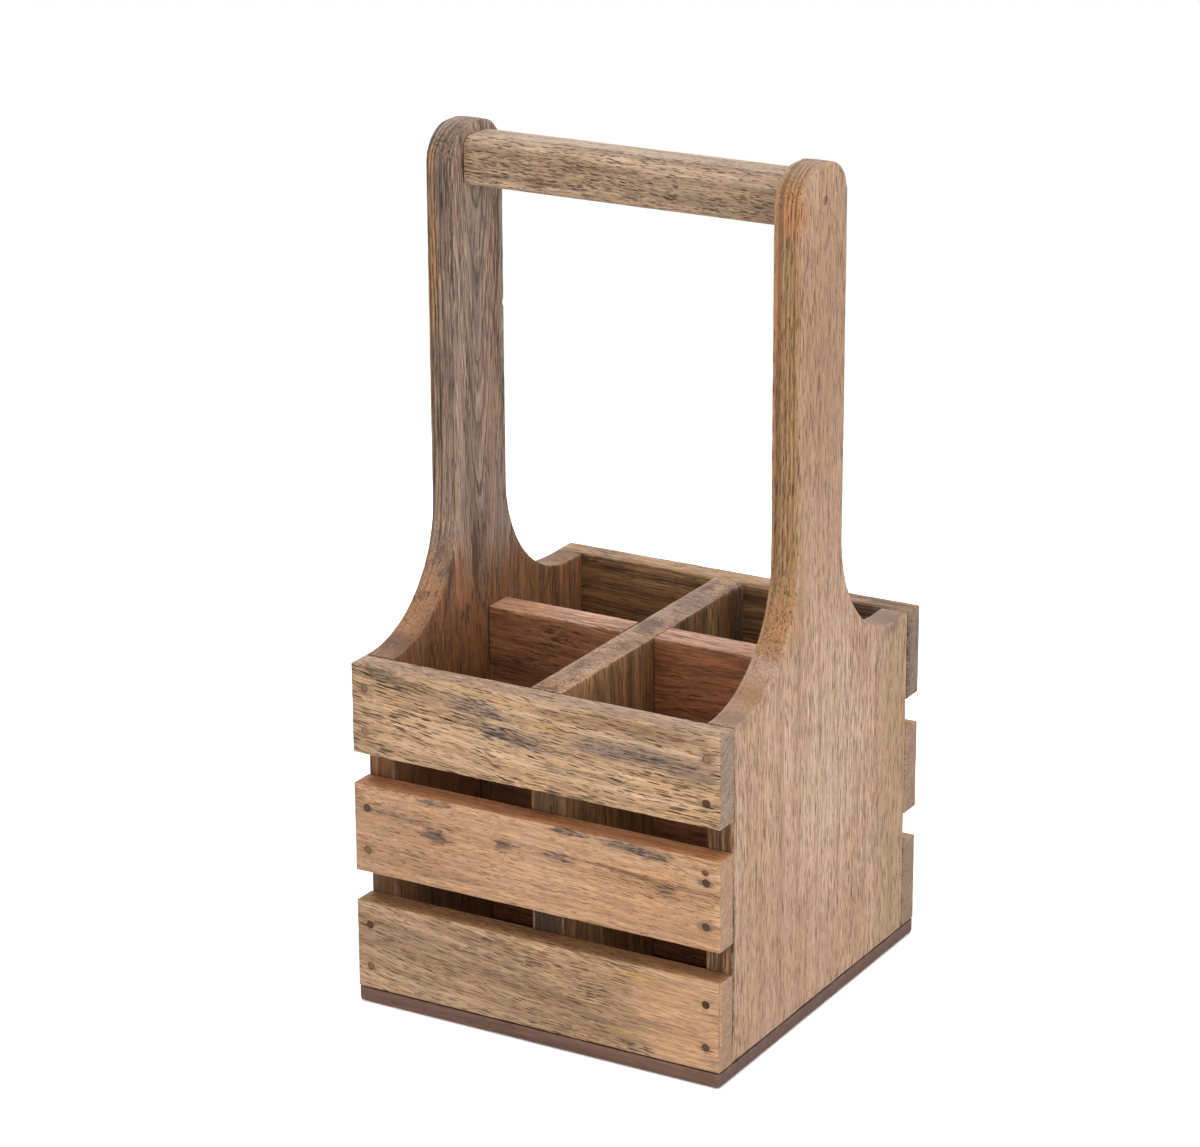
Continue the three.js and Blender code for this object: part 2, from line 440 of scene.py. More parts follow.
# what all boards share: a figure is its waves per millimetre along the grain and in both ways across it,
# its detail and its roughness, and a turn is where a change starts and is full, then its values there
mango = {
    "wander": ((0.014, 0.040, 0.040), 2.0, 0.5),
    "tremor": ((0.30, 0.9, 0.9), 2.0, 0.5),
    "tremorReach": 0.32,
    "fibre": ((0.12, 2.4, 2.4), 3.0, 0.65),
    "stripe": ((0.040, 0.95, 0.95), 3.0, 0.6),
    "tint": ((0.030, 0.42, 0.42), 3.0, 0.6),
    "streak": ((0.018, 0.26, 0.26), 4.0, 0.6),
    "patch": ((0.012, 0.065, 0.065), 3.0, 0.55),
    "wisp": ((0.26, 0.95, 0.95), 4.0, 0.7),
    "wispTurn": (0.38, 0.54),
    "wispDash": (0.62, 0.40, 0.18, 1.0),  # a turn: a wisp is faint between its dashes
    "rings": (3.0, 0.6),  # detail and roughness
    "lines": (2.0, 0.6),
    "linesToRing": 4.5,
    "edgeTurn": (0.75, 0.55),
    "edgePace": 0.7,
    "edgeBreak": (0.36, 0.54, 0.3),
    "edgeLine": (0.48, 0.55),
    "endTurn": (0.55, 0.85),
    "clearTurn": (0.6, 1.1, 0.4, 1.0),
    "sawTilt": 35,  # degrees
    "sawStep": (9, 9, 0.7),
    "sawTurn": (0.3, 0.7),
    "crowdStreak": 0.5,
    "crowdTurn": (0.62, 0.93),
    "rowShift": (0.29, 0.38),  # sets the rows of vessels like bricks
    "dashWidth": (0.55, 1.3),
    "dashTurn": (1.0, 0.76),
    "dashDepth": (0.45, 1.0),
    "hair": (1.5, 0.7, 0.85),  # length, thickness and share of the hairs, as parts of the pores'
    "ringTurn": (0.34, 0.66),
    "patchTurn": (0.45, 0.65),
    "tintTurn": (0.48, 0.66),
    "footWander": 14.0,
    "footTurn": (0.6, 0.2),
    "faceTurn": (0.40, 0.85),
    "ragged": (3.0, 1.5),  # how far stripes and streaks fray a stain
    "stainRim": 0.75,
    "stainFade": 0.4,
    "wispBelow": 0.5,  # the softness under which a stain breaks into wisps
    "groundLift": 48,
    "groundSize": (1.2, 1.0, 0.7),
    "groundSoft": 0.6,
    "duskTurn": (0.50, 0.69),
    "shadeTurn": (0.26, 0.74),
    "rub": (0.22, 3.0, 0.6),  # pace, detail and roughness of the rubbed arrises
    "rubTurn": (0.42, 0.66),
    "wornTurn": (0.5, 1.0),
    "gloss": (0.2, 0.8, 0.54, 0.68),
    "poreGloss": 0.15,
    "shine": 0.24,
    "fibreHeight": 0.35,
    "hairDepth": 0.4,
    "bump": 0.55,
    "bumpDepth": 0.22 * mm,
}


def woodFinish(name, **changes):
    look = {**plainLook, **changes}
    material, shader, kit = newMaterial(name)
    place = kit.put("TexCoord", {}).outputs["Object"]
    facing = kit.put("NewGeometry", {}).outputs["Normal"]
    board = kit.vector("MULTIPLY", place, (1 / mm,) * 3)
    turn = tuple(math.radians(a) for a in look["turn"])
    grain = kit.put("Mapping", {"Vector": board, "Location": look["slide"], "Rotation": turn}).outputs[0]

    # sweep of the whole board, then the slow wander and the tremor of the fibres
    slope, curve, bowAxis = look["bow"]
    run = kit.along(kit.vector("SUBTRACT", grain, look["slide"]), (1, 0, 0))
    sweep = kit.number("MULTIPLY", run, kit.number("ADD", kit.number("MULTIPLY", run, curve), slope))
    grain = kit.vector("ADD", grain, kit.vector("MULTIPLY", bowAxis, sweep))

    def figure(key, output="Fac"):
        pace, detail, roughness = mango[key]
        return kit.noise(kit.vector("MULTIPLY", grain, pace), detail, roughness, output)

    for key, reach in (("wander", look["waver"]), ("tremor", mango["tremorReach"])):
        drift = kit.vector("SUBTRACT", figure(key, "Color"), (0.5, 0.5, 0.5))
        grain = kit.vector("ADD", grain, kit.vector("MULTIPLY", drift, (0, reach, reach)))

    # growth rings about the pith, drawn out into a cone, and straight lines along the board's edges
    fromPith = kit.vector("SUBTRACT", grain, (0, *look["pith"]))
    radius = kit.length(kit.vector("MULTIPLY", fromPith, (0, 1, 1)))
    radius = kit.number("ADD", radius, kit.number("MULTIPLY", run, look["cone"]))
    if look["edgeAxis"]:
        flat = kit.number("ABSOLUTE", kit.along(facing, look["edgeAxis"]))
        onEdge = kit.ramp(flat, *mango["edgeTurn"])
        across = kit.number("MULTIPLY", kit.along(grain, (0, 0, mango["edgePace"])), onEdge)
        radius = kit.number("MULTIPLY", radius, kit.number("SUBTRACT", 1.0, onEdge))
        radius = kit.number("ADD", radius, across)
    ring = look["ringSize"]
    rings = kit.lineNoise(kit.number("DIVIDE", radius, ring), *mango["rings"])
    lines = kit.lineNoise(kit.number("DIVIDE", radius, ring / mango["linesToRing"]), *mango["lines"])

    fibre, stripe, tint, streak, patch = map(figure, ("fibre", "stripe", "tint", "streak", "patch"))
    wispRun, wispGap = look["wisp"]
    distance = kit.cells(kit.vector("DIVIDE", grain, (wispRun, wispGap, wispGap)))[0]
    wisp = kit.ramp(figure("wisp"), *mango["wispTurn"])
    wisp = kit.number("MULTIPLY", wisp, kit.ramp(distance, *mango["wispDash"]))

    # on sawn ends the vessels close up and the saw's slanting marks show
    endAxis = (0, 0, 1) if look["turn"] == upGrain else (1, 0, 0)
    onEnd = kit.ramp(kit.number("ABSOLUTE", kit.along(facing, endAxis)), *mango["endTurn"])
    calm = kit.ramp(onEnd, 0.0, 1.0, 1.0, 1.0 - look["endCalm"])
    if look["clear"]:
        sockets = {"Vector": board, "Location": look["clear"][0], "Scale": look["clear"][1]}
        spot = kit.length(kit.put("Mapping", sockets, vector_type="TEXTURE").outputs[0])
        calm = kit.number("MULTIPLY", calm, kit.ramp(spot, *mango["clearTurn"]))
    sawTilt = (math.radians(mango["sawTilt"]), 0, 0)
    sawn = {"Vector": board, "Rotation": sawTilt, "Scale": mango["sawStep"]}
    saw = kit.noise(kit.put("Mapping", sawn, vector_type="TEXTURE").outputs[0])
    saw = kit.ramp(saw, *mango["sawTurn"], -look["sawMarks"], look["sawMarks"])
    saw = kit.number("ADD", kit.number("MULTIPLY", saw, onEnd), 1.0)

    # vessels: dark dashes along the grain, dots on the cut ends
    crowd = kit.number("ADD", patch, kit.number("MULTIPLY", streak, mango["crowdStreak"]))
    crowd = kit.ramp(crowd, *mango["crowdTurn"], *look["crowd"])

    def vessels(dashRun, dashGap, dashShare):
        rows = kit.along(grain, (0, *[part * dashRun / dashGap for part in mango["rowShift"]]))
        laid = kit.vector("ADD", grain, kit.vector("MULTIPLY", (1, 0, 0), rows))
        distance, chance, depth = kit.cells(kit.vector("DIVIDE", laid, (dashRun, dashGap, dashGap)))
        width = kit.ramp(chance, 0.0, 1.0, *[dashShare * part for part in mango["dashWidth"]])
        dash = kit.number("DIVIDE", distance, kit.number("MULTIPLY", crowd, width))
        dash = kit.ramp(dash, *mango["dashTurn"])
        dash = kit.number("MULTIPLY", dash, kit.ramp(depth, 0.0, 1.0, *mango["dashDepth"]))
        return kit.number("MULTIPLY", dash, calm)

    pore = vessels(*look["pore"])
    hair = vessels(*[own * part for own, part in zip(look["pore"], mango["hair"])])

    colour = kit.blend(kit.ramp(rings, *mango["ringTurn"]), tone(*look["light"]), tone(*look["mid"]))
    for cloud, cloudTurn in ((patch, mango["patchTurn"]), (tint, mango["tintTurn"])):
        cloud = kit.ramp(cloud, *cloudTurn, 0.0, look["cloudShare"])
        colour = kit.blend(cloud, colour, tone(*look["cloud"]))
    if look["foot"]:
        footTone, clearSide, top, full, share = look["foot"]
        wander = mango["footWander"]
        rise = kit.number("ADD", kit.along(board, (0, 0, 1)), kit.number("MULTIPLY", streak, wander))
        foot = kit.ramp(rise, top + wander / 2, full + wander / 2, 0.0, share)
        inside = kit.ramp(kit.along(facing, clearSide), *mango["footTurn"])
        colour = kit.blend(kit.number("MULTIPLY", foot, inside), colour, tone(*footTone))
    for axis, faceTone, share in look["faces"]:
        toward = kit.ramp(kit.along(facing, axis), *mango["faceTurn"], 0.0, share)
        colour = kit.blend(toward, colour, tone(*faceTone))

    frays = []
    for grainFigure, reach in zip((stripe, streak), mango["ragged"]):
        frays.append(kit.number("MULTIPLY", kit.number("SUBTRACT", grainFigure, 0.5), reach))
    ragged = kit.number("ADD", *frays)

    # lays one blot: the blots are stains, and some of them are painted shade and painted highlights
    def stainAndPaintedLight(under, centre, size, tilt, blotTone, share, soft):
        tilt = tuple(math.radians(a) for a in tilt)
        sockets = {"Vector": board, "Location": centre, "Rotation": tilt, "Scale": size}
        spot = kit.put("Mapping", sockets, vector_type="TEXTURE").outputs[0]
        spot = kit.number("ADD", kit.length(spot), ragged)
        fade = soft * mango["stainFade"]
        spot = kit.ramp(spot, mango["stainRim"] + fade, mango["stainRim"] - fade, 0.0, share)
        if soft < mango["wispBelow"]:
            spot = kit.number("MULTIPLY", spot, wisp)
        return kit.blend(spot, under, tone(*blotTone))

    # soft stains, painted shade and painted highlights, and the paler ground of wisps lie under the figure,
    # wisps over it
    for blot in look["blots"]:
        if blot[-1] >= mango["wispBelow"]:
            colour = stainAndPaintedLight(colour, *blot)
        elif look["stainGround"]:
            centre, size, tilt, blotTone = blot[:4]
            size = [own * part for own, part in zip(size, mango["groundSize"])]
            ground = [c + mango["groundLift"] for c in blotTone]
            colour = stainAndPaintedLight(colour, centre, size, tilt, ground, look["stainGround"], mango["groundSoft"])
    for grainFigure, share in ((streak, look["streakShare"]), (lines, look["lineShare"])):
        dusk = kit.ramp(grainFigure, *mango["duskTurn"], 0.0, share)
        colour = kit.blend(kit.number("MULTIPLY", dusk, calm), colour, tone(*look["dark"]))
    if look["edgeAxis"]:
        broken = kit.number("MULTIPLY", kit.ramp(stripe, *mango["edgeBreak"], look["edgeShare"]), onEdge)
        broken = kit.number("MULTIPLY", kit.ramp(lines, *mango["edgeLine"]), broken)
        risen = kit.ramp(kit.along(board, (0, 0, 1)), *look["edgeRise"])
        broken = kit.number("MULTIPLY", broken, risen)
        colour = kit.blend(broken, colour, tone(*look["edgePore"]))
    for blot in look["blots"]:
        if blot[-1] < mango["wispBelow"]:
            colour = stainAndPaintedLight(colour, *blot)

    shade = saw
    for grainFigure, share in ((fibre, look["fibreShare"]), (stripe, -look["stripeShare"])):
        grainShade = kit.ramp(grainFigure, *mango["shadeTurn"], 1 - share, 1 + share)
        shade = kit.number("MULTIPLY", shade, grainShade)
    shades = kit.put("CombineXYZ", {0: shade, 1: shade, 2: shade}).outputs[0]
    colour = kit.vector("MULTIPLY", colour, shades)
    poreTone = tone(*look["poreTone"])
    if look["edgeAxis"]:
        poreTone = kit.blend(onEdge, poreTone, tone(*look["edgePore"]))
    for dash, share in ((hair, look["hairShare"]), (pore, look["poreShare"])):
        colour = kit.blend(kit.number("MULTIPLY", dash, share), colour, poreTone)

    worn = kit.put("Attribute", {}, attribute_name="arrisWear").outputs["Fac"]
    rubPace, *rubNoise = mango["rub"]
    rubbed = kit.noise(kit.vector("MULTIPLY", board, (rubPace,) * 3), *rubNoise)
    rubbed = kit.ramp(rubbed, *mango["rubTurn"], 0.0, look["paleShare"])
    rubbed = kit.number("MULTIPLY", kit.ramp(worn, *mango["wornTurn"]), rubbed)
    colour = kit.blend(rubbed, colour, tone(*look["pale"]))

    links = material.node_tree.links
    links.new(colour, shader.inputs["Base Color"])
    poreGloss = kit.number("MULTIPLY", pore, mango["poreGloss"])
    gloss = kit.number("ADD", kit.ramp(fibre, *mango["gloss"]), poreGloss)
    links.new(gloss, shader.inputs["Roughness"])
    shader.inputs["Specular IOR Level"].default_value = mango["shine"]
    height = kit.number("SUBTRACT", kit.number("MULTIPLY", fibre, mango["fibreHeight"]), pore)
    height = kit.number("SUBTRACT", height, kit.number("MULTIPLY", hair, mango["hairDepth"]))
    bump = kit.put("Bump", {"Strength": mango["bump"], "Distance": mango["bumpDepth"], "Height": height})
    links.new(bump.outputs[0], shader.inputs["Normal"])
    return material


# base board: here and below a rounded edge is its radius and its steps
base = {"corner": (1.2 * mm, 6), "under": (1.3 * mm, 4), "top": (0.15 * mm, 2), "wear": 0.7}


def makeBase():
    low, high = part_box("base_panel")
    board = sawBlank("baseBoard", low, high)
    roundEdges(board, lambda e: runs(e, 2), *base["corner"])
    roundEdges(board, lambda e: near(middle(e).z, low.z) and sharp(e), *base["under"])
    roundEdges(board, lambda e: near(middle(e).z, high.z) and sharp(e), *base["top"])
    score(board, (0, 1))
    weather(board, base["wear"])
    sinkNails(board, [node for node in sorted(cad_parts) if node.startswith("base_nail")])
    wood = woodFinish(
        "baseWood", slide=(37, 11, 90), light=(128, 97, 82), mid=(110, 82, 69), dark=(84, 60, 50),
        cloud=(124, 90, 78), cloudShare=0.4, streakShare=0.3, lineShare=0.1, fibreShare=0.12,
        stripeShare=0.1, pore=(7.0, 0.8, 0.22), poreTone=(70, 48, 40), poreShare=0.4, hairShare=0.2,
        pale=(150, 120, 104), paleShare=0.3, faces=(((1, 0, 0), (98, 80, 72), 0.7),),
    )
    handOver(board, "base_panel", wood)


makeBase()
print("base board made")

# side panels: a board with round shoulders and a tall upright
panel = {
    "shoulderHeight": 117.1 * mm,
    "upright": (-19.1 * mm, 11.1 * mm),  # its front and its rear
    "shoulder": (40 * mm, 20),
    "head": (12.3 * mm, 12),
    "ease": (0.55 * mm, 3),
    "leftNicks": [((-56.8, 11.4, 217.0), (3.0, 1.5, 1.7), 35)],  # place, half size, tilt
    "rightNicks": [
        ((66.7, -34.3, 124.4), (1.0, 2.6, 1.1), -40),
        ((66.4, -31.0, 77.6), (0.5, 0.5, 0.7), 0),
        ((61.5, -26.8, 133.8), (5.5, 0.6, 0.24), -36),
        ((66.5, 25.4, 126.0), (0.7, 0.28, 1.7), 0),
    ],
}


def makePanel(name, node):
    low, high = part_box(node)
    front, rear = panel["upright"]
    shoulder = panel["shoulderHeight"]
    square, flat = bench["square"], math.radians(bench["flatTurn"])
    board = sawBlank(name, low, Vector((high.x, high.y, shoulder)))
    solo(board)
    bpy.ops.object.mode_set(mode="EDIT")
    for place in (front, rear):
        bisectAt(1, place)
    release()
    pick(board, "FACE", lambda f: f.normal.z > square and front < f.calc_center_median().y < rear)
    bpy.ops.mesh.extrude_region_move(TRANSFORM_OT_translate={"value": (0, 0, high.z - shoulder)})
    release()
    pick(board, "EDGE", lambda e: len(e.link_faces) == 2 and e.calc_face_angle(0) < flat)
    bpy.ops.mesh.dissolve_edges(use_verts=True)
    release()

    def onUpright(edge, height):
        spot = middle(edge)
        return runs(edge, 0) and near(spot.z, height) and any(near(spot.y, y) for y in (front, rear))

    roundEdges(board, lambda e: onUpright(e, shoulder), *panel["shoulder"])
    roundEdges(board, lambda e: onUpright(e, high.z), *panel["head"])
    roundEdges(board, lambda e: sum(abs(f.normal.x) > square for f in e.link_faces) == 1, *panel["ease"])
    score(board, (0, 1, 2))
    weather(board)
    return board


def makePanels():
    left = makePanel("leftPanel", "left_side_panel")
    for nick in panel["leftNicks"]:
        chisel(left, *nick)
    sinkNails(left, ["rail_nail_left"])
    wood = woodFinish(
        "leftPanelWood", turn=upGrain, edgeAxis=(1, 0, 0), waver=5.0, pith=(-5, 61), cone=-0.13,
        ringSize=4.0, light=(188, 164, 147), mid=(147, 124, 110), dark=(82, 65, 54), cloud=(150, 118, 90),
        cloudShare=0.3, streakShare=0.5, lineShare=0.65, pore=(8.0, 0.50, 0.41), poreTone=(56, 40, 30),
        edgePore=(60, 44, 35), edgeShare=0.55, poreShare=0.9, hairShare=0.65, pale=(186, 160, 138),
        paleShare=0.1, foot=((142, 94, 55), (-1, 0, 0), 146, 120, 0.88),
        faces=(((0, -1, 0), (130, 108, 90), 0.65), ((0, 0, 1), (128, 104, 86), 0.4)),
        blots=(
            # painted shade: the front edge behind the slats is darkened where it shows through the gaps
            ((-61.5, -60, 60), (14, 2, 62), (0, 0, 0), (98, 62, 36), 0.95, 1.0),
            ((-63, -60, 84), (6, 2, 9), (0, 0, 0), (160, 110, 70), 0.7, 1.0),
            ((-61.5, -36, 130), (12, 22, 26), (0, 0, 0), (174, 128, 92), 0.8, 1.0),
            ((-61.5, -49, 119), (12, 6, 5), (0, 0, 0), (112, 84, 76), 0.75, 0.8),
            ((-61.5, -25, 139), (12, 5, 8), (0, 0, 0), (120, 88, 70), 0.5, 0.45),
            ((-56.5, -30, 90), (5, 30, 48), (0, 0, 0), (126, 74, 34), 0.7, 1.0),
            ((-56.5, 38, 100), (5, 26, 46), (0, 0, 0), (166, 117, 77), 0.85, 1.0),
            ((-56.5, -17.5, 131), (4, 5.5, 10), (0, 0, 0), (162, 110, 78), 0.7, 0.8),
            ((-56.5, -16, 118.5), (4, 7, 3.8), (0, 0, 0), (58, 41, 31), 0.95, 0.45),
            ((-56.5, -8.5, 138), (4, 2.8, 18), (3, 0, 0), (82, 58, 42), 0.85, 0.7),
            ((-56.5, -25, 132), (4, 2.2, 12), (-12, 0, 0), (76, 54, 40), 0.8, 0.7),
            ((-56.5, -32, 112), (4, 16, 18), (0, 0, 0), (80, 56, 38), 0.85, 0.45),
            ((-65.6, -19, 232), (3.4, 3, 50), (0, 0, 0), (184, 136, 86), 0.9, 1.0),
            ((-61.5, -19, 165), (12, 3, 22), (0, 0, 0), (172, 142, 118), 0.45, 1.0),
            ((-56.5, 4, 200), (3, 7, 48), (0, 0, 0), (174, 136, 112), 0.5, 1.0),
            ((-56.5, -7, 228), (3, 2.6, 30), (3, 0, 0), (108, 91, 90), 0.5, 0.8),
            ((-56.5, -11, 180), (3, 3.0, 26), (-4, 0, 0), (112, 93, 88), 0.5, 0.8),
        ),
    )
    handOver(left, "left_side_panel", wood)

    right = makePanel("rightPanel", "right_side_panel")
    for nick in panel["rightNicks"]:
        chisel(right, *nick)
    sinkNails(right, ["rail_nail_right"])
    wood = woodFinish(
        "rightPanelWood", turn=upGrain, edgeAxis=(1, 0, 0), slide=(0, 0, 31), waver=3.0, pith=(-120, -60),
        cone=0.02, ringSize=7.0, light=(196, 164, 140), mid=(176, 144, 120), dark=(130, 101, 80),
        cloud=(202, 165, 130), cloudShare=0.35, streakShare=0.22, lineShare=0.2, fibreShare=0.2,
        stripeShare=0.12, pore=(5.5, 0.44, 0.41), poreTone=(88, 61, 45), edgePore=(72, 47, 28),
        poreShare=0.85, hairShare=0.5, crowd=(0.88, 1.08), pale=(208, 180, 158), paleShare=0.3,
        faces=(((0, -1, 0), (172, 133, 86), 0.85), ((0, 0, 1), (160, 122, 98), 0.4)),
        blots=(
            ((66.5, 52, 60), (2.5, 14, 90), (0, 0, 0), (172, 142, 108), 0.7, 1.0),
            ((66.5, 38, 80), (2, 0.5, 60), (2.5, 0, 0), (142, 112, 90), 0.6, 1.0),
            ((66.5, -57.5, 60), (3, 2.0, 70), (0, 0, 0), (206, 176, 154), 0.5, 1.0),
            ((66.5, -4, 220), (3, 26, 70), (0, 0, 0), (166, 131, 102), 0.75, 1.0),
            ((66.5, -30, 35), (3, 34, 40), (0, 0, 0), (178, 142, 114), 0.5, 1.0),
            ((66.5, 4, 82), (3, 26, 44), (0, 0, 0), (208, 178, 157), 0.55, 1.0),
            ((61.5, -17, 266), (7, 6, 8), (0, 0, 0), (190, 124, 82), 0.75, 1.0),
            ((61.5, 50, 117), (14, 12, 4), (0, 0, 0), (132, 106, 92), 0.75, 1.0),
            ((61.5, -25, 140), (14, 9, 18), (0, 0, 0), (176, 127, 86), 0.75, 1.0),
            # painted highlight: a pale grey-pink band on the front shoulder's curve
            ((61.5, -33, 127), (14, 4.5, 5), (0, 0, 0), (184, 150, 134), 0.8, 0.8),
            ((61.5, -42, 121), (14, 5, 4), (0, 0, 0), (160, 119, 86), 0.7, 0.8),
            ((61.5, -54, 117), (14, 5, 4), (0, 0, 0), (142, 114, 94), 0.7, 0.8),
            ((57, -19, 220), (2.6, 3, 70), (0, 0, 0), (180, 118, 82), 0.65, 1.0),
            # painted shade: the front edge behind the slats is darkened where it shows through the gaps
            ((61.5, -60, 60), (14, 2.0, 62), (0, 0, 0), (76, 49, 31), 0.95, 1.0),
        ),
    )
    handOver(right, "right_side_panel", wood)


makePanels()
print("side panels made")

# carrying rail
rail = {"top": (4.2 * mm, 8), "under": (2.4 * mm, 5), "wear": 0.8}


def makeRail():
    low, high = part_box("handle_rail")
    board = sawBlank("carryingRail", low, high)
    roundEdges(board, lambda e: runs(e, 0) and near(middle(e).z, high.z), *rail["top"])
    roundEdges(board, lambda e: runs(e, 0) and near(middle(e).z, low.z), *rail["under"])
    score(board, (0, 1, 2))
    weather(board, rail["wear"])
    wood = woodFinish(
        "railWood", slide=(210, 4, 17), waver=3.0, pith=(40, 30), ringSize=4.0, light=(190, 163, 138),
        mid=(164, 137, 113), dark=(108, 86, 70), cloud=(186, 150, 112), cloudShare=0.35, streakShare=0.36,
        lineShare=0.2, pore=(3.0, 0.50, 0.40), poreTone=(72, 49, 34), poreShare=0.9,
        faces=(((0, 0, 1), (196, 170, 148), 0.45),),
    )
    handOver(board, "handle_rail", wood)


makeRail()
print("rail made")

# slats: one is shaped, and each of the six is a copy with its own mesh and wear
slat = {
    "ease": (0.4 * mm, 2),
    "nailStain": ((3.4, 2, 2.3), (0, 0, 0), (100, 72, 54), 0.65, 0.45),  # the wood round a nail, as a blot
    "look": {"endCalm": 0.6, "sawMarks": 0.13, "paleShare": 0.12},  # where a slat's own look says no more
    # a second hole beside a nail of the middle front slat: place, side, radius, depth
    "spareHole": (Vector((61.2, -68.5, 71.9)) * mm, Vector((0, -1, 0)), 0.9 * mm, 0.6 * mm),
}

